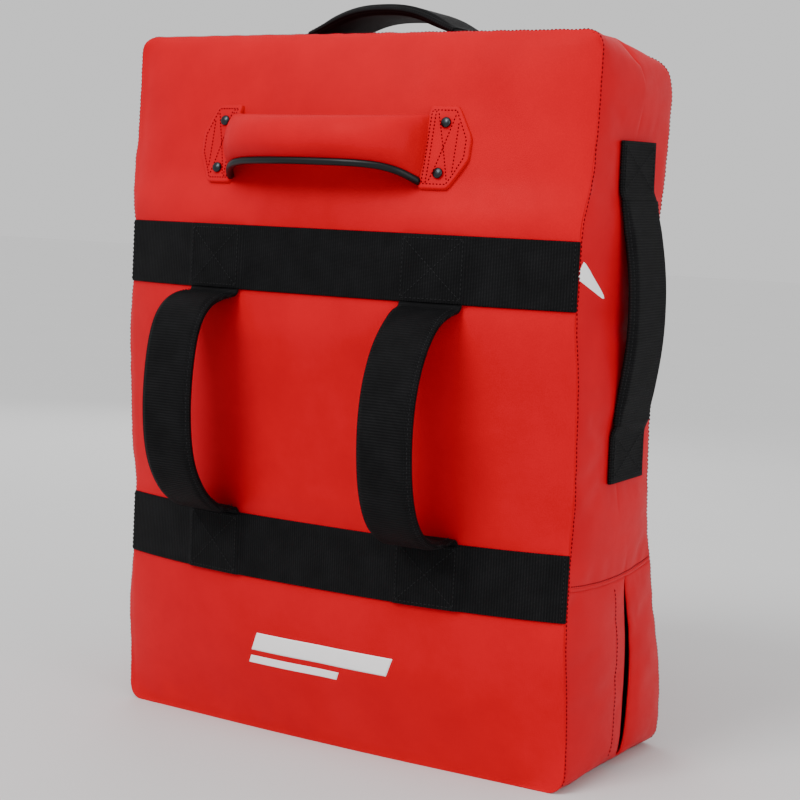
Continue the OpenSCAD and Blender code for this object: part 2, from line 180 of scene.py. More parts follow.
class Paint:
    """A material in the making: adds and joins nodes, and sets the shader's sockets.

    Texture scales are per metre, and per millimetre where the map is the webbing's.
    """

    def __init__(self, name, source="ShaderNodeTexCoord", output="Object"):
        self.material = bpy.data.materials.new(name)
        self.material.use_nodes = True
        self.nodes = self.material.node_tree.nodes
        self.shader = self.nodes["Principled BSDF"]
        self.place = self.nodes.new(source).outputs[output]

    def link(self, output, socket):
        self.material.node_tree.links.new(output, socket)

    def node(self, kind, values=(), **settings):
        """A node with its settings, and plain values for its inputs by name."""
        made = self.nodes.new(kind)
        for key, value in settings.items():
            setattr(made, key, value)
        for key, value in dict(values).items():
            made.inputs[key].default_value = value
        return made

    def texture(self, kind, values, output, **settings):
        made = self.node("ShaderNodeTex" + kind, values, **settings)
        self.link(self.place, made.inputs["Vector"])
        return made.outputs[output]

    def noise(self, scale, detail, roughness=0.5):
        values = {"Scale": scale, "Detail": detail, "Roughness": roughness}
        return self.texture("Noise", values, "Fac")

    def ramp(self, source, low, dark, high, light):
        """A colour that goes from dark to light as source goes from low to high."""
        made = self.nodes.new("ShaderNodeValToRGB")
        for element, place, colour in zip(made.color_ramp.elements, (low, high), (dark, light)):
            element.position = place
            element.color = (*colour, 1)
        self.link(source, made.inputs["Fac"])
        return made.outputs["Color"]

    def bumps(self, *layers):
        """Bumps on top of each other; layers are (height socket, strength, depth)."""
        last = None
        for height, strength, depth in layers:
            bump = self.node("ShaderNodeBump", {"Strength": strength, "Distance": depth})
            self.link(height, bump.inputs["Height"])
            if last is not None:
                self.link(last, bump.inputs["Normal"])
            last = bump.outputs["Normal"]
        self.link(last, self.shader.inputs["Normal"])

    def base(self, colour):
        self.link(colour, self.shader.inputs["Base Color"])

    def set(self, **sockets):
        """Plain values on the shader's own sockets; _ stands for a space in a socket's name."""
        for key, value in sockets.items():
            self.shader.inputs[key.replace("_", " ")].default_value = value


def leather_material(name, colour):
    """Smooth coated leather: fine pebble grain, faint mottling and soft scuffs."""
    paint = Paint(name)
    mottle = paint.noise(26, 5, 0.6)
    pebble = paint.texture("Voronoi", {"Scale": 1100, "Randomness": 1.0}, "Distance")
    fine = paint.noise(2600, 2)
    wave = paint.noise(16, 3)
    scuff = paint.noise(90, 8, 0.75)
    paint.base(paint.ramp(mottle, 0.35, shade(colour, 0.95), 0.65, shade(colour, 1.03)))
    rough = paint.node(
        "ShaderNodeMapRange", {"From Min": 0.3, "From Max": 0.75, "To Min": 0.4, "To Max": 0.52}
    )
    paint.link(scuff, rough.inputs["Value"])
    paint.link(rough.outputs["Result"], paint.shader.inputs["Roughness"])
    paint.set(Specular_IOR_Level=0.08, Specular_Tint=(1.0, 0.3, 0.26, 1.0))
    paint.bumps((wave, 0.2, 0.9 * MM), (pebble, 0.22, 0.22 * MM), (fine, 0.15, 0.1 * MM))
    return paint.material


def webbing_material(name, colour, rib_pitch, warp_pitch):
    """Woven webbing with a painted highlight on its ribs. The map runs across and along the strap
    in millimetres, as do the pitches.
    """
    paint = Paint(name, "ShaderNodeUVMap", "UV")

    def threads(pitch, distortion, direction):
        scale = 2 * math.pi / 20 / pitch
        values = {"Scale": scale, "Distortion": distortion, "Detail": 1, "Detail Scale": 2}
        return paint.texture("Wave", values, "Fac", wave_type="BANDS", bands_direction=direction)

    weave = paint.node("ShaderNodeMath", operation="MULTIPLY")
    paint.link(threads(rib_pitch, 0.6, "Y"), weave.inputs[0])
    paint.link(threads(warp_pitch, 0.4, "X"), weave.inputs[1])
    weave = weave.outputs["Value"]
    fuzz = paint.noise(1.7, 4, 0.7)
    wear = paint.noise(0.045, 4, 0.6)
    # Painted highlight: the tops of the weave's ribs are lightened, as where light catches them
    rib_highlight = tuple(c * 2.6 + 0.006 for c in colour)
    mix = paint.node("ShaderNodeMix", data_type="RGBA", blend_type="MULTIPLY")
    factor, first, second = mix.inputs[0], mix.inputs[6], mix.inputs[7]
    factor.default_value = 1.0
    # From the plain colour in the weave's hollows to the painted rib highlight on its tops
    paint.link(paint.ramp(weave, 0.25, colour, 0.95, rib_highlight), first)
    paint.link(paint.ramp(wear, 0.35, (0.75,) * 3, 0.7, (1.25,) * 3), second)
    paint.base(mix.outputs[2])
    paint.set(Roughness=0.6, Specular_IOR_Level=0.05)
    paint.bumps((weave, 0.75, 0.5 * MM), (fuzz, 0.25, 0.12 * MM))
    return paint.material


def plain_material(name, colour, roughness, scale, depth, specular=0.5, contrast=0.15, metal=0.0):
    """One tone with fine noise in its colour and its surface."""
    paint = Paint(name)
    grain = paint.noise(scale, 5, 0.65)
    dark, light = shade(colour, 1 - contrast), shade(colour, 1 + contrast)
    paint.base(paint.ramp(grain, 0.3, dark, 0.7, light))
    paint.set(Roughness=roughness, Specular_IOR_Level=specular, Metallic=metal)
    paint.bumps((grain, 0.4, depth))
    return paint.material


def foam_material(name, colour):
    """Open foam: small cells, with painted shade darkening the pits in their middles."""
    paint = Paint(name)
    cells = paint.texture("Voronoi", {"Scale": 420}, "Distance")
    # Painted shade: the pitted middle of each cell is darker
    paint.base(paint.ramp(cells, 0.05, shade(colour, 0.7), 0.5, colour))
    paint.set(Roughness=0.95)
    paint.bumps((cells, 0.6, 0.6 * MM))
    return paint.material


leather = leather_material("red leather", (0.52, 0.0, 0.009))
webbing = webbing_material("black webbing", (0.004, 0.004, 0.0044), 2.0, 0.95)
thread_dark = plain_material("dark red thread", (0.05, 0.001, 0.002), 0.7, 900, 0.1 * MM, 0.1)
thread_black = plain_material("black thread", (0.016, 0.016, 0.017), 0.6, 900, 0.1 * MM, 0.1)
piping_black = plain_material("black piping", (0.004, 0.005, 0.006), 0.36, 700, 0.1 * MM, 0.22)
tape_black = plain_material("closure tape", (0.0015,) * 3, 0.95, 1500, 0.4 * MM, 0.0)
white_print = plain_material("white print", (0.9,) * 3, 0.5, 60, 0.02 * MM, contrast=0.02)
rivet_metal = plain_material("rivet metal", (0.035, 0.04, 0.045), 0.3, 300, 0.02 * MM, metal=1.0)
floor_grey = plain_material("floor", (0.66,) * 3, 0.9, 2, 0.01 * MM, 0.1, contrast=0.01)
foam_firm = foam_material("firm foam", (0.30, 0.29, 0.27))
foam_soft = foam_material("soft foam", (0.78, 0.74, 0.62))

# -------------------- mesh helpers


def make(name, points, faces, material, uvs=None):
    """A smooth-shaded mesh object; uvs holds one place per point."""
    mesh = bpy.data.meshes.new(name)
    faces = [tuple(map(int, face)) for face in faces]
    mesh.from_pydata([tuple(map(float, p)) for p in points], [], faces)
    if uvs is not None:
        layer = mesh.uv_layers.new(name="UVMap")
        corner_points = np.zeros(len(mesh.loops), int)
        mesh.loops.foreach_get("vertex_index", corner_points)
        layer.data.foreach_set("uv", np.asarray(uvs, np.float32)[corner_points].ravel())
    mesh.validate()
    made = bmesh.new()
    made.from_mesh(mesh)
    bmesh.ops.recalc_face_normals(made, faces=made.faces)
    made.to_mesh(mesh)
    made.free()
    mesh.polygons.foreach_set("use_smooth", [True] * len(mesh.polygons))
    mesh.materials.append(material)
    obj = bpy.data.objects.new(name, mesh)
    bpy.context.collection.objects.link(obj)
    return obj


def grid_faces(rows, columns, first=0, wrap=False):
    """Quads over a grid of points; wrap closes each row into a ring."""
    across = columns if wrap else columns - 1
    return [
        (
            first + i * columns + k,
            first + i * columns + (k + 1) % columns,
            first + (i + 1) * columns + (k + 1) % columns,
            first + (i + 1) * columns + k,
        )
        for i in range(rows - 1)
        for k in range(across)
    ]


def tube_faces(rings, sides, first=0):
    """Faces of a tube of rings, with both ends closed."""
    last = first + (rings - 1) * sides
    ends = [tuple(range(first, first + sides)), tuple(reversed(range(last, last + sides)))]
    return grid_faces(rings, sides, first, wrap=True) + ends


def grid_rim(rows, columns):
    """The (row, column) places round the edge of a grid."""
    return (
        [(0, k) for k in range(columns)]
        + [(i, columns - 1) for i in range(1, rows)]
        + [(rows - 1, k) for k in range(columns - 2, -1, -1)]
        + [(i, 0) for i in range(rows - 2, 0, -1)]
    )


def plate(name, us, vs, place, top, bottom, material, uv=lambda u, v: (v / MM, u / MM)):
    """A closed plate over place(u, v), a point and its normal: top(u, v) above it, bottom below."""
    rows, columns = len(us), len(vs)
    upper, lower, uvs = [], [], []
    for u in us:
        for v in vs:
            point, normal = place(u, v)
            upper.append(point + top(u, v) * normal)
            lower.append(point - bottom * normal)
            uvs.append(uv(u, v))
    count = rows * columns
    faces = grid_faces(rows, columns)
    faces += [tuple(reversed([i + count for i in face])) for face in faces]
    rim = [i * columns + k for i, k in grid_rim(rows, columns)]
    for a, b in zip(rim, rim[1:] + rim[:1]):
        faces.append((b, a, a + count, b + count))
    return make(name, upper + lower, faces, material, uvs + uvs)


def edge_stations(low, high, step, edge=(0, 0.25, 0.7, 1.4, 2.6)):
    """Places from low to high, close together at both ends so that the edges round off."""
    near = [low + e * MM for e in edge]
    far = [high - e * MM for e in reversed(edge)]
    inner = np.linspace(near[-1], far[0], max(2, int((far[0] - near[-1]) / step) + 1))[1:-1]
    return np.array(near + list(inner) + far)


def rounded(distance, radius):
    """How much of its height a plate has at a distance from its edge."""
    t = np.clip(distance / radius, 0, 1)
    return math.sqrt(max(0.0, 1 - (1 - t) ** 2))


def path_lengths(path):
    """How far along a path each of its points is."""
    return np.concatenate([[0], np.cumsum(np.linalg.norm(np.diff(path, axis=0), axis=1))])


def path_length(path):
    return float(np.linalg.norm(np.diff(path, axis=0), axis=1).sum())


def resample(points, step):
    """The same path with even steps."""
    points = np.asarray(points, float)
    length = path_lengths(points)
    count = max(2, int(round(length[-1] / step)) + 1)
    places = np.linspace(0, length[-1], count)
    return np.column_stack([np.interp(places, length, points[:, i]) for i in range(3)])


def soften(points, rounds):
    """Rounds off a path's corners, with its ends held."""
    points = np.array(points, float)
    for _ in range(rounds):
        points[1:-1] = (points[:-2] + 2 * points[1:-1] + points[2:]) / 4
    return points


def unit(v):
    return v / np.maximum(np.linalg.norm(v, axis=-1, keepdims=True), 1e-12)


def strap_frame(path, across):
    """At each point of a path: the direction of a strap's width, and of its outer face."""
    across = np.broadcast_to(np.asarray(across, float), path.shape)
    return across, unit(np.cross(unit(np.gradient(path, axis=0)), across))


def sweep(name, path, across, sections, material):
    """A strap along path, its width along across; sections holds one outline, or one a point."""
    path = np.asarray(path, float)
    across, outward = strap_frame(path, across)
    if np.ndim(sections) == 2:
        sections = [sections] * len(path)
    points, uvs = [], []
    for i, travelled in enumerate(path_lengths(path)):
        for w, t in sections[i]:
            points.append(path[i] + w * across[i] + t * outward[i])
            uvs.append((w / MM, travelled / MM))
    return make(name, points, tube_faces(len(path), len(sections[0])), material, uvs)


def stitches(name, runs, material, length=2.1 * MM, pitch=3.2 * MM, radius=0.42 * MM):
    """Short threads along runs, each a list of (point, normal)."""
    sides, rings, end_share, sunk = 6, 5, 0.12, 0.45
    turns = [2 * math.pi * k / sides for k in range(sides)]
    points, faces = [], []
    for run in runs:
        place, normal = (np.array(column) for column in zip(*run))
        travelled = path_lengths(place)

        def at(values, where):
            return np.array([np.interp(where, travelled, values[:, i]) for i in range(3)])

        count = max(1, int(travelled[-1] / pitch))
        for middle in (np.arange(count) + 0.5) * travelled[-1] / count:
            start, end = at(place, middle - length / 2), at(place, middle + length / 2)
            up = unit(at(normal, middle))
            side = np.cross(unit(end - start), up)
            faces += tube_faces(rings, sides, len(points))
            for t in np.linspace(0, 1, rings):
                swell = math.sin(math.pi * (end_share + (1 - 2 * end_share) * t))
                centre = start + (end - start) * t + up * radius * (swell - sunk)
                points += [
                    centre + radius * swell * (math.cos(a) * side + math.sin(a) * up)
                    for a in turns
                ]
    return make(name, points, faces, material)


def sew_on(piece):
    """Fixes a piece to the pad."""
    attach(piece, "pad")


# -------------------- cover

# Millimetres from a seam at which the leather's points lie, closer together near the seam
EDGE_STEPS = [0, 1.0, 2.4, 5.0, 9.0]
SLIT_STEPS = [2.4, 0.9, 0]
FACE_STEP = 6.2 * MM
FRONT_STEPS, BACK_STEPS = 17, 16
WALL_BULGE = 2.2 * MM
SWELL_CAP = 4.5 * MM
HANDLE_PATCH = 41 * MM


def face_columns():
    """Places across the face from -1 to 1, closer together near the seams."""
    near = [1 - e * MM / (PAD_W / 2) for e in EDGE_STEPS]
    count = int(2 * near[-1] * PAD_W / 2 / FACE_STEP)
    inner = np.linspace(-near[-1], near[-1], count)
    return np.concatenate([-np.array(near[:-1]), inner, np.array(near[:-1])[::-1]])


def face_rows():
    """Heights of the face's points: round the corners by angle, then even steps."""
    turn = np.radians([0, 9, 20, 32, 45, 58, 70, 80])
    low = np.concatenate([CORNER_R * (1 - np.cos(turn)), [CORNER_R]])
    marks = [CORNER_R, WALL_SEAM_Z, PAD_H - CORNER_R]
    found = list(low)
    for a, b in zip(marks, marks[1:]):
        found += list(np.linspace(a, b, int((b - a) / FACE_STEP) + 1))[1:]
    return np.array(found[:-1] + list(PAD_H - low[::-1]))


columns = face_columns()
rows = face_rows()
NX, NZ = len(columns), len(rows)
FACE_COUNT = NX * NZ


def slit_edge(z):
    """The front edge of the closure slit, which leans forward at its top and bottom."""
    top = 7 * smooth_step((z / MM - 96) / 56)
    foot = 4 * smooth_step((22 - z / MM) / 22)
    return SLIT_Y - (2 + top + foot) * MM


def wall_mid(z):
    """The line along the walls where the closure slit runs, carried on above it."""
    share = smooth_step((z - WALL_SEAM_Z) / (60 * MM))
    return (1 - share) * slit_edge(z) + share * (holder_seam(z) + strike_seam(z)) / 2


def wall_shares(span, steps, near_first):
    """Shares of a strip of wall, with fine steps beside the face's seam and the slit."""
    edge = np.array(EDGE_STEPS + [15.0]) * MM / span
    end = 1 - np.array(SLIT_STEPS) * MM / span
    rest = np.linspace(edge[-1], end[0], steps + 3 - len(edge) - len(end))[1:-1]
    shares = np.concatenate([edge, rest, end])
    return shares if near_first else 1 - shares[::-1]


def outline_normal(x, z):
    """Outward normal of the rounded outline at one of its points."""
    cx = np.clip(x, CORNER_R - PAD_W / 2, PAD_W / 2 - CORNER_R)
    cz = np.clip(z, CORNER_R, PAD_H - CORNER_R)
    d = np.array([x - cx, 0, z - cz])
    size = np.linalg.norm(d)
    return d / size if size > 1e-9 else np.array([0, 0, 1.0])


def wall_line(a, b):
    """The points of the wall from a holder seam point to the strike seam point behind it."""
    middle = a + (b - a) * (wall_mid(a[2]) - a[1]) / (b[1] - a[1])
    out = outline_normal(a[0], a[2])
    bulge = 0 if out[2] < -0.5 else WALL_BULGE
    near = wall_shares(middle[1] - a[1], FRONT_STEPS, True)
    far = wall_shares(b[1] - middle[1], BACK_STEPS, False)
    line = [a + (middle - a) * t for t in near] + [middle + (b - middle) * t for t in far[1:]]
    shares = [(p[1] - a[1]) / (b[1] - a[1]) for p in line]
    return np.array([p + out * bulge * 4 * t * (1 - t) for p, t in zip(line, shares)])


def build_cover():
    """Points of the closed cover, its faces by piece, and the grid of the wall's points."""
    s, z = np.meshgrid(columns, rows)
    x = s * half_w(z)
    front = np.stack([x, holder_y(s, z), z], -1).reshape(-1, 3)
    back = np.stack([x, strike_y(s, z), z], -1).reshape(-1, 3)
    rim = grid_rim(NZ, NX)
    inner = FRONT_STEPS + BACK_STEPS - 1
    wall = np.zeros((len(rim), inner + 2), int)
    strips = []
    for n, (i, k) in enumerate(rim):
        place = i * NX + k
        strips.append(wall_line(front[place], back[place])[1:-1])
        wall[n, 0], wall[n, -1] = place, FACE_COUNT + place
        wall[n, 1:-1] = 2 * FACE_COUNT + n * inner + np.arange(inner)
    points = np.concatenate([front, back] + strips)
    pieces = {
        "holder_panel": grid_faces(NZ, NX),
        "strike_panel": [tuple(reversed(f)) for f in grid_faces(NZ, NX, FACE_COUNT)],
        "upper_wall": [], "lower_wall": [], "closure_strip": [],
    }
    for n in range(len(rim)):
        m = (n + 1) % len(rim)
        low = rows[rim[n][0]] + rows[rim[m][0]] < 2 * WALL_SEAM_Z - 1e-6
        for j in range(inner + 1):
            part = "upper_wall"
            if low:
                part = "lower_wall" if j < FRONT_STEPS else "closure_strip"
            pieces[part].append((wall[n, j], wall[n, j + 1], wall[m, j + 1], wall[m, j]))
    return points, pieces, wall


def held_share(points, wall):
    """How firmly each point is held: 1 on seams, under the bands and at sewn patches, 0 free."""
    held = np.zeros(len(points))
    x, y, z = points.T
    on_front = np.arange(len(points)) < FACE_COUNT

    def hold(share):
        held[on_front] = np.maximum(share, held)[on_front]

    for middle in (UPPER_BAND_Z, LOWER_BAND_Z):
        hold(fade(np.abs(z - middle) - BAND_HALF + 3 * MM, 9 * MM))
    inner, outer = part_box("grip_anchor_right")[0].x, -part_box("grip_anchor_left")[0].x
    beside = smooth_step((np.abs(x) - inner + 8 * MM) / (8 * MM)) * fade(np.abs(x) - outer, 10 * MM)
    from_grip = np.abs(z - mid_of("grip_anchor_left", Z))
    hold(beside * fade(from_grip - 32 * MM, 10 * MM))

    level = z[wall[:, 0]]
    held[wall[:, 0]] = held[wall[:, -1]] = 1
    held[wall[level < WALL_SEAM_Z + 1e-6, FRONT_STEPS]] = 1
    held[wall[np.abs(level - WALL_SEAM_Z) < 1e-6].ravel()] = 1
    low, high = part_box("side_handle_right_ends")
    on_side = (np.abs(x) > PAD_W / 2 - 4 * MM) & (y > low.y) & (y < high.y)
    past_end = np.abs(z - HANDLE_Z) - (high.z - low.z) / 2
    held[on_side & (past_end < 4 * MM) & (past_end > -HANDLE_PATCH - 1 * MM)] = 1
    held[z < 0.5 * MM] = 1
    return held


def inflate(points, pieces, held):
    """Cloth held at its seams and blown up a little, so that the panels fill between them."""
    faces = [f for part in pieces.values() for f in part]
    obj = make("cover form", points, faces, leather)
    group = obj.vertex_groups.new(name="held")
    for i, share in enumerate(held):
        if share > 0.01:
            group.add([i], float(share), "REPLACE")
    cloth = obj.modifiers.new("cloth", "CLOTH").settings
    cloth.vertex_group_mass = "held"
    cloth.quality = 6
    cloth.mass = 0.3
    cloth.tension_stiffness = cloth.compression_stiffness = 12
    cloth.shear_stiffness = 4
    cloth.bending_stiffness = 1.5
    cloth.use_pressure = True
    cloth.uniform_pressure_force = 4
    cloth.shrink_min = -0.006
    cloth.effector_weights.gravity = 0
    scene = bpy.context.scene
    for number in range(1, 21):
        scene.frame_set(number)
    graph = bpy.context.evaluated_depsgraph_get()
    mesh = obj.evaluated_get(graph).to_mesh()
    moved = np.zeros(len(points) * 3)
    mesh.vertices.foreach_get("co", moved)
    obj.evaluated_get(graph).to_mesh_clear()
    scene.frame_set(1)
    bpy.data.objects.remove(obj)
    return moved.reshape(-1, 3) - points


def swollen(points, pieces, wall):
    """The cover's points after the cloth pass, smoothed on both faces and capped."""
    held = held_share(points, wall)
    move = inflate(points, pieces, held)
    for first in (0, FACE_COUNT):
        grid = move[first:first + FACE_COUNT].reshape(NZ, NX, 3)
        for _ in range(6):
            beside = grid[:-2, 1:-1] + grid[2:, 1:-1] + grid[1:-1, :-2] + grid[1:-1, 2:]
            grid[1:-1, 1:-1] = (grid[1:-1, 1:-1] + beside) / 5
    size = np.linalg.norm(move, axis=1, keepdims=True)
    move *= np.minimum(1, SWELL_CAP / np.maximum(size, 1e-9))
    move[points[:, 2] < 0.5 * MM, 2] = 0
    moved = points + move * (1 - held)[:, None]
    moved[:, 2] = np.maximum(moved[:, 2], 0)
    return moved


def tuck_seams(points, wall, outs):
    """Turns the leather in at the seams, so that each shows as a fine groove."""
    depth, reach, level_share = 0.8 * MM, 1.1 * MM, 0.85
    moved = points.copy()
    for n, out in enumerate(outs):
        share = depth * float(1 - level_share * smooth_step((abs(out[2]) - 0.2) / 0.6))
        for side in (wall[n], wall[n][::-1]):
            for place in side[:6]:
                away = np.linalg.norm(points[place] - points[side[0]])
                moved[place] = moved[place] - out * share * math.exp(-away / reach)
    for first, inward in ((0, 1), (FACE_COUNT, -1)):
        face = slice(first, first + FACE_COUNT)
        x, z = points[face, 0], points[face, 2]
        level = 1 - level_share * np.exp(-np.maximum(0, np.minimum(PAD_H - z, z)) / (8 * MM))
        edge = np.maximum(half_w(z) - np.abs(x), 0)
        moved[face, 1] += inward * depth * level * np.exp(-edge / reach)
    return moved


def wall_seam_ends():
    """Where the seam between the upper and lower walls meets the seams of both faces."""
    return holder_seam(WALL_SEAM_Z), strike_seam(WALL_SEAM_Z)


def wall_seam_dip(y):
    """How far the seam between the upper and lower walls strays from level."""
    low, high = wall_seam_ends()
    t = np.clip((y - low) / (high - low), 0, 1)
    return (-3.5 * 4 * t * (1 - t) + 6 * t * t) * MM


def let_seam_stray(points):
    """Moves the cover's points near the wall seam so that the seam takes its line."""
    near = np.exp(-(((points[:, 2] - WALL_SEAM_Z) / (26 * MM)) ** 2))
    side = smooth_step((np.abs(points[:, 0]) - PAD_W / 2 + 40 * MM) / (30 * MM))
    moved = points.copy()
    moved[:, 2] += wall_seam_dip(points[:, 1]) * near * side
    return moved


def between(z, low, high, reach):
    """1 between two levels, falling to 0 at them over a reach."""
    return smooth_step((z - low) / reach) * smooth_step((high - z) / reach)


def near_point(distance, reach):
    """1 at a distance of 0, falling away over a reach."""
    return np.exp(-((distance / reach) ** 2))


# How far the stuffing pushes each edge out: above the bands, below them and between them
LEFT_SWELL = (11.5 * MM, 5.5 * MM, 3.6 * MM)
RIGHT_SWELL = (1.0 * MM, 1.6 * MM, 2.5 * MM)
# How far the top rises, how much more at its front rim, and how far both rims lean back
TOP_RISE, RIM_RISE, RIM_LEAN = 2.6 * MM, 3.4 * MM, 3 * MM
# How far the foot of the face rolls forward: everywhere, and more in its middle
FOOT_ROLL, FOOT_ROLL_MIDDLE = 3 * MM, 5 * MM
# How far the rear corners at the top sink, and those at the foot lift
CORNER_DROP, CORNER_LIFT = 4.2 * MM, 1.8 * MM


def stuff_out(points):
    """The swells that the stuffing makes where no band holds it, most of them on the left."""
    x, y, z = points.T
    top, back = PAD_H - z, np.maximum(0, y - holder_seam(z))
    zones = (
        between(z, UPPER_BAND_Z + BAND_HALF - 4 * MM, PAD_H + 52 * MM, 52 * MM),
        between(z, -60 * MM, LOWER_BAND_Z - BAND_HALF, 60 * MM),
        between(z, LOWER_BAND_Z + BAND_HALF, UPPER_BAND_Z - BAND_HALF, 50 * MM),
    )
    moved = points.copy()
    for side, swells in ((-1, LEFT_SWELL), (1, RIGHT_SWELL)):
        near_edge = smooth_step((side * x - PAD_W / 4) / (PAD_W / 5))
        moved[:, 0] += side * near_edge * sum(a * zone for a, zone in zip(swells, zones))
    rise = TOP_RISE + RIM_RISE * near_point(back, 16 * MM)
    moved[:, 2] += rise * smooth_step((60 * MM - top) / (60 * MM))
    moved[:, 1] += RIM_LEAN * np.exp(-top / (6 * MM)) * np.exp(-back / (5 * MM))
    share = smooth_step((1.1 * PAD_W / 2 - np.abs(x)) / (0.5 * PAD_W))
    roll = FOOT_ROLL + FOOT_ROLL_MIDDLE * share
    moved[:, 1] -= roll * np.exp(-z / (26 * MM)) * np.exp(-back / (12 * MM))
    beside = np.abs(x) - PAD_W / 2
    drop = CORNER_DROP * near_point(np.hypot(beside, top), 40 * MM) * smooth_step(back / (110 * MM))
    lift = CORNER_LIFT * near_point(np.hypot(beside, z), 17 * MM)
    lift *= smooth_step((back - 20 * MM) / (50 * MM))
    moved[:, 0] -= (0.2 * drop + lift) * np.sign(x)
    moved[:, 2] += lift - drop
    rear = smooth_step((back - 50 * MM) / (50 * MM))
    moved[:, 1] += RIM_LEAN * np.exp(-top / (14 * MM)) * rear
    return moved


def build_pieces():
    """The finished points of the cover, its faces by piece, and the wall's grid and normals."""
    points, pieces, wall = build_cover()
    outs = [outline_normal(x, z) for x, _, z in points[wall[:, 0]]]
    points = let_seam_stray(stuff_out(swollen(points, pieces, wall)))
    return tuck_seams(points, wall, outs), pieces, wall, outs


cover_points, cover_pieces, wall_grid, wall_outs = build_pieces()


def slit_gap(z):
    """How far the closure's rear edge bows away from its front edge."""
    t = np.clip(z / WALL_SEAM_Z, 0, 1)
    return (1.2 + 4.5 * (1 - t) + 9 * np.sin(math.pi * t) ** 0.8) * MM


def open_slit(points, wall, outs):
    """The rear strip's points, with its edge drawn back and tucked in."""
    moved = points.copy()
    for strip, out in zip(wall, outs):
        start = points[strip[FRONT_STEPS]]
        inward = 0 if out[2] < -0.9 else 1.2 * MM
        for place in strip[FRONT_STEPS:FRONT_STEPS + 10]:
            away = np.linalg.norm(points[place] - start)
            back = np.array([0, slit_gap(start[2]) * fade(away, 34 * MM), 0])
            moved[place] += back - out * inward * math.exp(-away / (1.3 * MM))
    return moved


def cut_out(name, points, faces):
    """One leather piece of the cover, rounded once and given its thickness on the inside."""
    used = sorted({i for f in faces for i in f})
    place = {old: new for new, old in enumerate(used)}
    piece = make(name, points[used], [[place[i] for i in f] for f in faces], leather)
    smooth = piece.modifiers.new("smooth", "SUBSURF")
    smooth.levels = smooth.render_levels = 1
    skin = piece.modifiers.new("thickness", "SOLIDIFY")
    skin.thickness = 1.4 * MM
    skin.offset = -1
    graph = bpy.context.evaluated_depsgraph_get()
    mesh = bpy.data.meshes.new_from_object(piece.evaluated_get(graph))
    piece.modifiers.clear()
    piece.data = mesh
    return piece


def make_cover():
    """The five leather pieces; returns a search tree of their surfaces."""
    rear_points = open_slit(cover_points, wall_grid, wall_outs)
    corners, faces = [], []
    for name, part in cover_pieces.items():
        source = rear_points if name == "closure_strip" else cover_points
        piece = cut_out(name + "_leather", source, part)
        first = len(corners)
        corners += [v.co.copy() for v in piece.data.vertices]
        faces += [[first + i for i in p.vertices] for p in piece.data.polygons]
        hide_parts(name)
        sew_on(piece)
    return BVHTree.FromPolygons(corners, faces)


cover_tree = make_cover()


def outside(point, direction, reach=0.2):
    """The cover's outer surface met from outside along direction, as (point, normal)."""
    direction = Vector(direction).normalized()
    start = Vector(point) - direction * reach
    place, normal, _, _ = cover_tree.ray_cast(start, direction)
    if place is None:
        place, normal, _, _ = cover_tree.find_nearest(Vector(point))
    if normal.dot(direction) > 0:
        normal = -normal
    return np.array(place), np.array(normal)


def on_face(x, z):
    return outside((x, FACE_Y, z), (0, 1, 0))


def on_side(side, y, z):
    return outside((side * PAD_W / 2, y, z), (-side, 0, 0))


# -------------------- seams of the cover


def on_wall_seam(side, y, above):
    """A place over the seam between the walls, a little above its line."""
    return on_side(side, y, WALL_SEAM_Z + wall_seam_dip(y) + above)


def seam_stitches():
    """Threads along the walls beside both faces' seams, over the wall seam and down the hem."""
    runs = []
    for first, second in ((1, 2), (-2, -3)):
        beside = (cover_points[wall_grid[:, first]] + cover_points[wall_grid[:, second]]) / 2
        runs.append([outside(p, -out) for p, out in zip(beside, wall_outs) if p[2] > 5 * MM])
    low, high = wall_seam_ends()
    for side in (-1, 1):
        across = np.linspace(low + 4 * MM, high - 4 * MM, 60)
        down = np.linspace(WALL_SEAM_Z - 8 * MM, 14 * MM, 40)
        runs.append([on_wall_seam(side, y, 3.2 * MM) for y in across])
        runs.append([on_side(side, slit_edge(z) - 20 * MM, z) for z in down])
    sew_on(stitches("cover_stitches", runs, thread_dark))


def half_round(width, height, count=9):
    """A low bead: a flat underside sunk in the leather, and a rounded top."""
    turns = np.linspace(0, math.pi, count)
    top = [(width / 2 * math.cos(a), height * math.sin(a)) for a in turns]
    return top + [(-width / 2, -0.8 * MM), (width / 2, -0.8 * MM)]


def wall_welts():
    """The turned-in fold that closes each side wall's seam."""
    low, high = wall_seam_ends()
    for side, name in ((-1, "left"), (1, "right")):
        across = np.linspace(low + 0.6 * MM, high - 0.6 * MM, 70)
        path = [on_wall_seam(side, y, 0.6 * MM)[0] for y in across]
        bead = half_round(2.6 * MM, 0.55 * MM)
        sew_on(sweep("wall_welt_" + name, path, (0, 0, side), bead, leather))


seam_stitches()
wall_welts()

# -------------------- closure tapes


def closure_tapes():
    """The hook and loop tapes that show in the slit, down one side, under and up the other."""
    depth, half, r = 1.9 * MM, PAD_W / 2, 26 * MM
    line = [(-half, z) for z in np.linspace(WALL_SEAM_Z - 3 * MM, r, 30)]
    line += [
        (r - half - r * math.cos(a), r - r * math.sin(a))
        for a in np.linspace(0, math.pi / 2, 12)[1:]
    ]
    line += [(-x, z) for x, z in reversed(line)]
    path = []
    for x, z in line:
        out = unit(np.array([x - np.clip(x, r - half, half - r), 0, min(0, z - r)]))
        path.append(np.array([x, SLIT_Y - 2 * MM, z]) - depth * out)
    w, t = 20 * MM, 0.25 * MM
    flat = [(-w, t), (w, t), (w, -t), (-w, -t)]
    tape = sweep("closure_tape_strip", path, (0, -1, 0), flat, tape_black)
    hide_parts("hook_tape", "loop_tape")
    sew_on(tape)


closure_tapes()

# -------------------- bands

BAND_T = 2.0 * MM
TAB_T = 2.2 * MM
TAB_HALF = 26 * MM


def tab_rise(x):
    """How far a band stands up over the sewn ends of the arm loops."""
    return TAB_T * float(smooth_step((TAB_HALF + 3 * MM - abs(abs(x) - LOOP_X)) / (5 * MM)))


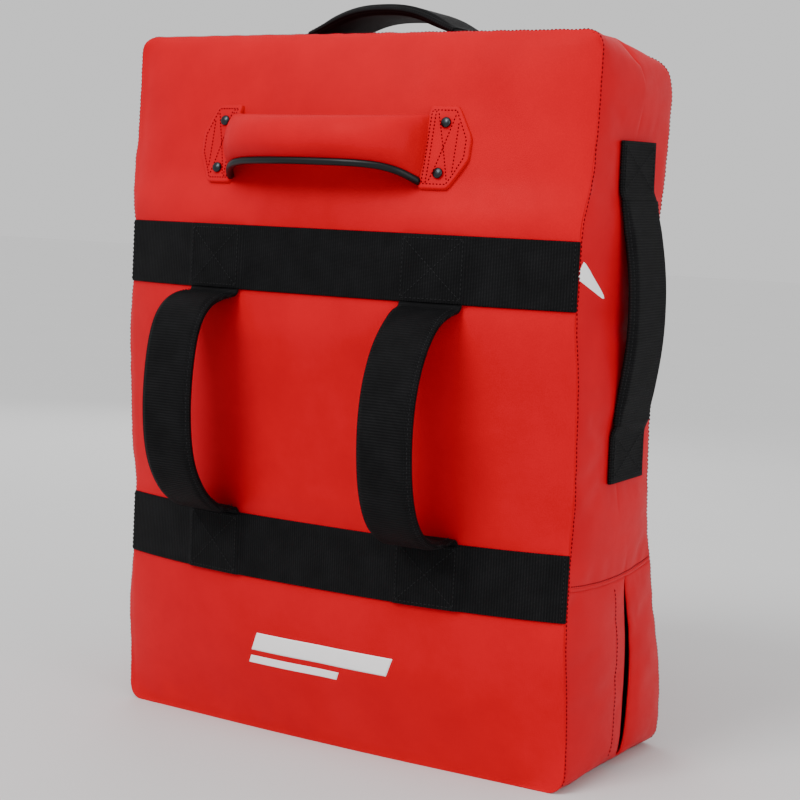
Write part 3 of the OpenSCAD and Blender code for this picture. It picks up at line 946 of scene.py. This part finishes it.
def band_top(x, inset):
    """A band's height over the leather, which ends at the face's side seams."""
    end = PAD_W / 2 - abs(x)
    flat = rounded(inset, 0.9 * MM) * BAND_T + tab_rise(x)
    return flat * float(smooth_step((end + 1.5 * MM) / (5 * MM)))


def make_band(name, middle):
    reach = PAD_W / 2 - 0.8 * MM
    us = edge_stations(middle - BAND_HALF, middle + BAND_HALF, 5 * MM)
    vs = np.concatenate([np.arange(-reach, reach, 2.0 * MM), [reach]])
    band = plate(
        name + "_webbing", us, vs, lambda z, x: on_face(x, z),
        lambda z, x: band_top(x, BAND_HALF - abs(z - middle)), 0.6 * MM, webbing,
        lambda z, x: (z / MM, x / MM),
    )
    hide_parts(name)
    sew_on(band)


make_band("upper_band", UPPER_BAND_Z)
make_band("lower_band", LOWER_BAND_Z)


def on_band(x, z, lift=0.1 * MM):
    place, normal = on_face(x, z)
    return place + (BAND_T + tab_rise(x) + lift) * normal, normal


def straight_run(place, start, end, count=24):
    """A run of threads between two points of a flat map."""
    a, b = np.array(start, float), np.array(end, float)
    return [place(*(a + (b - a) * t)) for t in np.linspace(0, 1, count)]


def closed_runs(place, corners):
    """Runs of threads from corner to corner and back to the first."""
    return [straight_run(place, a, b) for a, b in zip(corners, corners[1:] + corners[:1])]


def box_cross(place, low, high):
    """A sewn box with a cross in it."""
    (x0, z0), (x1, z1) = low, high
    corners = [(x0, z0), (x1, z0), (x1, z1), (x0, z1)]
    cross = [straight_run(place, corners[i], corners[i + 2]) for i in (0, 1)]
    return closed_runs(place, corners) + cross


def band_stitches():
    """A box and cross over each end of the arm loops, and a row at both ends of each band."""
    runs = []
    half, end = TAB_HALF - 2.5 * MM, PAD_W / 2 - 3 * MM
    for middle in (UPPER_BAND_Z, LOWER_BAND_Z):
        for side in (-1, 1):
            x = side * LOOP_X
            runs += box_cross(on_band, (x - half, middle - 22 * MM), (x + half, middle + 22 * MM))
            row = [(side * end, middle + way * 24 * MM) for way in (-1, 1)]
            runs.append(straight_run(on_band, *row))
    thread = stitches("band_stitches", runs, thread_black, 2.0 * MM, 3.3 * MM, 0.34 * MM)
    sew_on(thread)


band_stitches()

# -------------------- straps


def padded_ring(half, thick, edge_thick, hem=2.4 * MM, taper=4.5 * MM):
    """The section of a padded strap: flat sewn hems and a full middle. Points are (w, t)."""
    shares = [1, 0.99, 0.97, 0.94, 0.905, 0.87, 0.83, 0.78, 0.71, 0.6, 0.42, 0.2, 0]
    ws = [-half * a for a in shares] + [half * a for a in reversed(shares[:-1])]
    ring = []
    for w in ws:
        inset = half - abs(w)
        t = edge_thick / 2 * (0.15 + 0.85 * rounded(inset, edge_thick / 2))
        t += (thick - edge_thick) / 2 * float(smooth_step((inset - hem + 1 * MM) / taper))
        t -= 0.2 * MM * math.exp(-(((inset - hem) / (0.8 * MM)) ** 2))
        ring.append((w, t))
    return [(w, -t) for w, t in ring] + [(w, t) for w, t in reversed(ring)]


def padded_rings(path, section):
    """A section for each point of a path, from its distance to the nearer end."""
    total = path_length(path)
    return [section(min(s, total - s)) for s in path_lengths(path)]


def edge_runs(path, across, w, height, low, high):
    """Threads along both edges of a strap, on both its faces, between two lengths."""
    across, outward = strap_frame(path, across)
    kept = [i for i, s in enumerate(path_lengths(path)) if low <= s <= high]
    return [
        [
            (path[i] + side * w * across[i] + sign * height * outward[i], sign * outward[i])
            for i in kept
        ]
        for side in (-1, 1)
        for sign in (-1, 1)
    ]


def bend_from_pad(body, start, end, *pieces):
    """Bakes each piece's transform into its mesh; pieces are (object, slot). body and the slot are
    not used.
    """
    for piece, slot in pieces:
        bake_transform(piece)
        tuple(start)
        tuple(end)


# -------------------- arm loops

# Side views of the two loops: (share of the way out, share of the way down)
LEFT_LOOP = [(0, 0), (0.27, 0.005), (0.62, 0.045), (0.86, 0.14), (0.98, 0.31), (1, 0.54),
             (0.89, 0.76), (0.62, 0.92), (0.27, 1.0), (0, 1)]
RIGHT_LOOP = [(0, 0), (0.23, 0.015), (0.5, 0.07), (0.76, 0.175), (0.94, 0.33), (1, 0.52),
              (0.94, 0.74), (0.78, 0.9), (0.54, 0.99), (0.25, 1.02), (0, 1.0)]
LOOP_MIDDLE_Z = (UPPER_BAND_Z + LOWER_BAND_Z) / 2
LOOP_GAP = 4.6 * MM
LOOP_ROOT = 46 * MM


def curve_through(points, count):
    """A smooth curve through points (Catmull-Rom), with count steps between each pair."""
    p = np.array(points, float)
    p = np.vstack([2 * p[0] - p[1], p, 2 * p[-1] - p[-2]])
    t = (np.arange(count) / count)[:, None]
    parts = []
    for a, b, c, d in zip(p, p[1:], p[2:], p[3:]):
        parts.append(
            0.5 * (2 * b + (c - a) * t + (2 * a - 5 * b + 4 * c - d) * t**2
                   + (3 * b - a - 3 * c + d) * t**3)
        )
    return np.vstack(parts + [p[-2:-1]])


def loop_path(side):
    """From under the upper band, out and down, and in under the lower band."""
    x = side * LOOP_X
    top = UPPER_BAND_Z - BAND_HALF - LOOP_GAP
    bottom = LOWER_BAND_Z + BAND_HALF + LOOP_GAP
    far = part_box("arm_loop_right_outer")[0].y - 1 * MM

    def face(z):
        return on_face(x, z)[0][1] - TAB_T / 2

    path = [(x, face(z), z) for z in np.linspace(UPPER_BAND_Z + 20 * MM, top + 1 * MM, 20)]
    for out, down in curve_through(RIGHT_LOOP if side > 0 else LEFT_LOOP, 10)[2:-2]:
        root = (1 - down) * face(top) + down * face(bottom)
        path.append((x, root + (far - root) * out, top + (bottom - top) * down))
    path += [(x, face(z), z) for z in np.linspace(bottom - 1 * MM, LOWER_BAND_Z - 20 * MM, 20)]
    return soften(resample(path, 1.6 * MM), 8)


def loop_across(side, path):
    """Across the strap: level in the middle, and turned with the face at the sewn ends."""
    inner, middle, outer = (
        on_face(side * (LOOP_X + way * 20 * MM), LOOP_MIDDLE_Z)[0] for way in (-1, 0, 1)
    )
    on_tab = unit((outer - inner) * side * np.array([1, 1, 0]))
    share = smooth_step((middle[1] - path[:, 1]) / (30 * MM))[:, None]
    return unit(on_tab * (1 - share) + np.array([1.0, 0, 0]) * share)


def loop_section(inside):
    """Flat where the loop is sewn down, and padded from a distance inside its ends."""
    full = float(smooth_step((inside - LOOP_ROOT) / (34 * MM)))
    return padded_ring((25 - 2.2 * full) * MM, (3.0 + 5.6 * full) * MM, (2.6 + 2.4 * full) * MM)


def make_arm_loop(side, name):
    path = loop_path(side)
    across = loop_across(side, path)
    strap = sweep(name + "_strap", path, across, padded_rings(path, loop_section), webbing)
    low, high = LOOP_ROOT + 4 * MM, path_length(path) - LOOP_ROOT - 4 * MM
    runs = edge_runs(path, across, 20.4 * MM, 2.4 * MM, low, high)
    thread = stitches(name + "_stitches", runs, thread_black, 2.0 * MM, 3.4 * MM, 0.34 * MM)
    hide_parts(*[name + end for end in ("_outer", "_foam", "_inner", "_ends")])
    start, end = ((side * LOOP_X, path[0][1] - out * MM, LOOP_MIDDLE_Z) for out in (3, 26))
    bend_from_pad(name, start, end, (strap, "black_webbing"), (thread, "thread_black"))


make_arm_loop(-1, "arm_loop_left")
make_arm_loop(1, "arm_loop_right")

# -------------------- carry handles

HANDLE_Y = -29 * MM
HANDLE_W = 60 * MM
HANDLE_LEAN = math.radians(2.3)


def handle_path(half, rise, power, wall):
    """(along, out) of a handle: flat on its patches and arched between; wall(along) is the wall."""
    near, far = half + 1 * MM, half + HANDLE_PATCH
    line = [(-a, wall(-a)) for a in np.linspace(far, near, 16)]
    for t in np.linspace(-1, 1, 70):
        root = 2.4 * MM + wall(half * np.sign(t)) * abs(t) ** 3
        line.append((half * t, root + (rise - 4 * MM - root) * (1 - abs(t) ** power)))
    return line + [(a, wall(a)) for a in np.linspace(near, far, 16)]


def sleeve_section(inside):
    full = float(smooth_step((inside + 4 * MM) / (30 * MM)))
    return padded_ring(HANDLE_W / 2, (5.0 + 3.8 * full) * MM, 3.8 * MM)


def make_handle(name, middle, along, out, half, rise, power):
    """A webbing strap sewn down at both ends, with a padded sleeve round its arch."""
    middle, along, out = (np.array(v, float) for v in (middle, along, out))
    across = np.cross(out, along)

    def space(line, rounds):
        path = [middle + a * along + o * out for a, o in line]
        return soften(resample(path, 1.6 * MM), rounds)

    def wall(a):
        place, _ = outside(middle + a * along, -out)
        return float((place - middle) @ out) + 1.9 * MM

    def on_patch(a, w):
        return middle + a * along + w * across + (wall(a) + 1.85 * MM) * out, out

    line = handle_path(half, rise, power, wall)
    sleeve_path = space([p for p in line if abs(p[0]) < half - 0.5 * MM], 2)
    ring = padded_ring(HANDLE_W / 2 - 1 * MM, 3.6 * MM, 3.2 * MM)
    strap = sweep(name + "_strap", space(line, 8), across, ring, webbing)
    sleeve = sweep(
        name + "_sleeve_cover", sleeve_path, across, padded_rings(sleeve_path, sleeve_section),
        webbing,
    )
    runs = edge_runs(
        sleeve_path, across, HANDLE_W / 2 - 2.3 * MM, 2.0 * MM, 1 * MM, path_length(sleeve_path)
    )
    for way in (-1, 1):
        ends = sorted((way * (half + 5 * MM), way * (half + HANDLE_PATCH - 4 * MM)))
        edge = HANDLE_W / 2 - 5 * MM
        runs += box_cross(on_patch, (ends[0], -edge), (ends[1], edge))
    thread = stitches(name + "_stitches", runs, thread_black, 2.0 * MM, 3.2 * MM, 0.36 * MM)
    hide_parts(*[name + end for end in ("_sleeve", "_foam", "_webbing")])
    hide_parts(name + "_ends")
    bend_from_pad(
        name, middle + out * 3 * MM, middle + out * 17 * MM,
        (strap, "black_webbing"), (sleeve, "black_webbing"), (thread, "thread_black"),
    )


def make_handles():
    for side, name in ((-1, "side_handle_left"), (1, "side_handle_right")):
        middle = (side * PAD_W / 2, HANDLE_Y, HANDLE_Z)
        along = (0, side * math.sin(HANDLE_LEAN), -side * math.cos(HANDLE_LEAN))
        make_handle(name, middle, along, (side, 0, 0), 85 * MM, 22 * MM, 2.2)
    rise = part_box("top_handle_sleeve")[1].z - PAD_H
    make_handle(
        "top_handle", (-8 * MM, HANDLE_Y, PAD_H), (1, 0, 0), (0, 0, 1), 69 * MM, rise, 2.5
    )


make_handles()

# -------------------- padded grip

ANCHOR_X = 86 * MM
ANCHOR_L = 36 * MM
ANCHOR_HALF = 31.5 * MM
# Where an anchor patch's straight edges end and its blunt point begins
ANCHOR_SHOULDER = 23 * MM
GRIP_X = (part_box("grip_anchor_right")[1].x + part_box("grip_anchor_left")[0].x) / 2
grip_a, grip_b = (on_face(101 * MM, GRIP_Z + way * 29 * MM)[0] for way in (-1, 1))
GRIP_UP = unit((grip_b - grip_a) * np.array([0, 1, 1]))
GRIP_OUT = np.array([0, -GRIP_UP[2], GRIP_UP[1]])
GRIP_SAG = 2.4 * MM
CORD_R = 3.0 * MM

# Half of the grip, from under its patch to its middle: along, out, half height, half depth
GRIP_SHAPE = [
    (98, 1.7, 24, 1.5), (90, 1.7, 24.5, 1.5), (87, 2.4, 24.5, 1.8), (85, 5.5, 24, 3.2),
    (81, 12, 22, 6), (74, 19.5, 19.6, 9.2), (62, 25.5, 17.7, 11.4), (40, 29.2, 16.7, 12),
    (0, 31, 16.3, 12),
]


def grip_base(x):
    """The face behind the grip at x, on the grip's level, let down by its sag."""
    sag = GRIP_SAG * max(0.0, 1 - (x / ANCHOR_X) ** 2)
    return on_face(GRIP_X + x, GRIP_Z)[0] - sag * GRIP_UP


def grip_stations():
    """Places along the whole grip: (along, out, half height, half depth) in metres."""
    right = np.array(GRIP_SHAPE, float) * MM
    left = right * np.array([-1, 1, 1, 1])
    return curve_through(np.vstack([left, right[-2::-1]]), 9)


def grip_section(height, depth, sides=44):
    """Round above, and pinched below where the piping is sewn in. Points are (w, t)."""
    ring = []
    for k in range(sides):
        turn = 2 * math.pi * k / sides
        c, s = math.cos(turn), math.sin(turn)
        pinch = 1 - 0.3 * max(0.0, -s) ** 3
        w = height * math.copysign(abs(s) ** 0.92, s)
        ring.append((w, depth * pinch * math.copysign(abs(c) ** 0.9, c)))
    return ring


def make_grip():
    stations = grip_stations()
    path = [grip_base(x) + out * GRIP_OUT for x, out, _, _ in stations]
    sections = [grip_section(height, depth) for _, _, height, depth in stations]
    tube = sweep("grip_tube", path, GRIP_UP, sections, leather)
    cord_path = [
        grip_base(x) + max(out, CORD_R) * GRIP_OUT - (height + CORD_R * 0.55) * GRIP_UP
        for x, out, height, _ in stations
        if abs(x) < ANCHOR_X
    ]
    circle = [
        (CORD_R * math.cos(a), CORD_R * math.sin(a)) for a in np.linspace(0, 2 * math.pi, 15)[:-1]
    ]
    cord_path = soften(resample(cord_path, 2 * MM), 3)
    piping = sweep("grip_piping_cord", cord_path, GRIP_UP, circle, piping_black)
    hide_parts("grip_cover", "grip_core")
    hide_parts("grip_piping")
    middle = on_face(GRIP_X, GRIP_Z)[0]
    bend_from_pad(
        "grip", middle + GRIP_OUT * 3 * MM, middle + GRIP_OUT * 18 * MM,
        (tube, "red_leather"), (piping, "black_piping"),
    )


def patch_half(u):
    """Half the height of an anchor patch at u from its inner edge: square, then a blunt point."""
    gap = ANCHOR_SHOULDER * (u - ANCHOR_SHOULDER) / (ANCHOR_L - ANCHOR_SHOULDER)
    half = ANCHOR_HALF - (gap + math.sqrt(gap * gap + (1.5 * MM) ** 2)) / 2 + 0.1 * MM
    r = 2.5 * MM
    for inset in (u, ANCHOR_L - u):
        if inset < r:
            half -= r - math.sqrt(max(0.0, r * r - (r - inset) ** 2))
    return half


def patch_height(u, v):
    """How far a patch stands off the face: rounded at its edges, raised over the grip's end."""
    edge = min(u, ANCHOR_L - u, (1 - abs(v)) * patch_half(u))
    rise = 1.7 * MM * float(smooth_step((13 * MM - u) / (11 * MM)))
    rise *= float(smooth_step((29 * MM - abs(v) * patch_half(u)) / (5 * MM)))
    return 3.3 * MM * (0.25 + 0.75 * rounded(edge, 1.3 * MM)) + rise


def make_patch(side, name):
    """The patch that holds one end of the grip; returns the runs of its threads."""

    def place(u, v):
        return on_face(GRIP_X + side * (ANCHOR_X + u), GRIP_Z + v * patch_half(u) * GRIP_UP[2])

    def on_patch(u, w):
        v = w / patch_half(u)
        base, normal = place(u, v)
        return base + (patch_height(u, v) + 0.1 * MM) * normal, normal

    us = edge_stations(0, ANCHOR_L, 2.2 * MM, (0, 0.2, 0.6, 1.3, 2.4))
    vs = edge_stations(-1, 1, 0.07, (0, 7, 20, 45, 85))
    patch = plate(name + "_patch", us, vs, place, patch_height, 0.5 * MM, leather)
    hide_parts(name)
    sew_on(patch)

    top, tip = ANCHOR_HALF - 3.5 * MM, ANCHOR_L - 3.6 * MM
    inner, outer, row, shoulder = 3 * MM, 22 * MM, 6 * MM, 25 * MM
    runs = closed_runs(
        on_patch,
        [(inner, -top), (outer, -top), (tip, -7 * MM), (tip, 7 * MM), (outer, top), (inner, top)],
    )
    runs.append(straight_run(on_patch, (row, -top), (row, top)))
    runs.append(straight_run(on_patch, (shoulder, -19 * MM), (shoulder, 19 * MM)))
    for way in (1, -1):
        start, end = (8 * MM, way * (2 * MM - top)), (outer, way * (top - 3 * MM))
        runs.append(straight_run(on_patch, start, end))
    return runs


make_grip()
patch_runs = make_patch(-1, "grip_anchor_left") + make_patch(1, "grip_anchor_right")
patch_thread = stitches(
    "grip_anchor_stitches", patch_runs, thread_dark, 1.5 * MM, 2.6 * MM, 0.36 * MM
)
sew_on(patch_thread)

# -------------------- white marks


def mark(name, place, length, half):
    """A thin printed shape: place(u, w) maps it, half(u) is half its width."""
    us = np.linspace(0, length, max(8, int(length / (2 * MM))))
    vs = np.linspace(-1, 1, 13)
    shape = plate(
        name, us, vs, lambda u, v: place(u, v * half(u)), lambda u, v: 0.12 * MM, 0.3 * MM,
        white_print,
    )
    sew_on(shape)


def make_marks():
    """Two plain slanted bars low on the face, and a wedge beside the right seam."""

    def bar(x, z, slant=0.45):
        return lambda u, w: on_face(x + u + slant * w, z + w)

    mark("front_mark_upper", bar(-58 * MM, 78 * MM), 126 * MM, lambda u: 7.5 * MM)
    mark("front_mark_lower", bar(-64 * MM, 62.5 * MM), 84 * MM, lambda u: 3.2 * MM)

    start, end = np.array([-110.3 * MM, 386.5 * MM]), np.array([-78 * MM, 366.5 * MM])
    way = unit(end - start)
    flat = np.array([-way[1], way[0]])
    length = float(np.linalg.norm(end - start))

    def on_wedge(u, w):
        y, z = start + way * u + flat * w
        return on_side(1, y, z)

    def wedge_half(u):
        body = 6.4 * MM * (1 - u / length) ** 0.8 + 0.7 * MM
        near = min(1.0, (u + 1.2 * MM) / (2 * MM), (length - u + 0.1 * MM) / (2 * MM))
        return body * math.sqrt(max(0.02, 1 - (1 - near) ** 2))

    mark("side_mark", on_wedge, length, wedge_half)


make_marks()

# -------------------- carried-over nodes


def finish_nodes(material, *names, smooth=False):
    """Gives CAD nodes that still show a material."""
    for name in names:
        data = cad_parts[name].data
        data.materials.clear()
        data.materials.append(material)
        if smooth:
            data.polygons.foreach_set("use_smooth", [True] * len(data.polygons))


finish_nodes(foam_firm, "holder_foam", "strike_foam")
finish_nodes(foam_soft, "core_foam")
finish_nodes(rivet_metal, "grip_rivets_left", "grip_rivets_right", "grip_washers", smooth=True)

# -------------------- floor and light


def make_stage(reach=30, count=5):
    """A plain pale floor."""
    steps = np.linspace(-reach, reach, count)
    points = [(x, y, 0) for y in steps for x in steps]
    make("floor", points, grid_faces(count, count), floor_grey)


def add_light(name, kind, place, target, power, **settings):
    """A light at place that shines on target."""
    data = bpy.data.lights.new(name, kind)
    data.energy = power
    for key, value in settings.items():
        setattr(data, key, value)
    light = bpy.data.objects.new(name, data)
    light.location = place
    direction = Vector(target) - Vector(place)
    light.rotation_euler = direction.to_track_quat("-Z", "Y").to_euler()
    bpy.context.collection.objects.link(light)


def add_panel(name, place, target, power, width, height):
    add_light(name, "AREA", place, target, power, shape="RECTANGLE", size=width, size_y=height)


def make_light():
    """A bright studio: even white surroundings, a wide key from the front and three soft panels."""
    world = bpy.data.worlds.new("studio")
    world.use_nodes = True
    background = world.node_tree.nodes["Background"]
    background.inputs["Color"].default_value = (1, 1, 1, 1)
    background.inputs["Strength"].default_value = 0.85
    bpy.context.scene.world = world
    middle = (0, 0, 0.28)
    add_light("key", "SUN", (-0.25, -1.0, 0.8), (0, 0, 0), 1.9, angle=math.radians(22))
    add_panel("top", (0.0, -0.75, 1.5), (0, 0, 0.5), 6, 1.2, 0.6)
    add_panel("right", (2.1, -0.7, 0.9), middle, 17, 1.2, 1.6)
    add_panel("rim", (-1.4, 1.6, 1.2), middle, 9, 1.0, 1.4)


make_stage()
make_light()
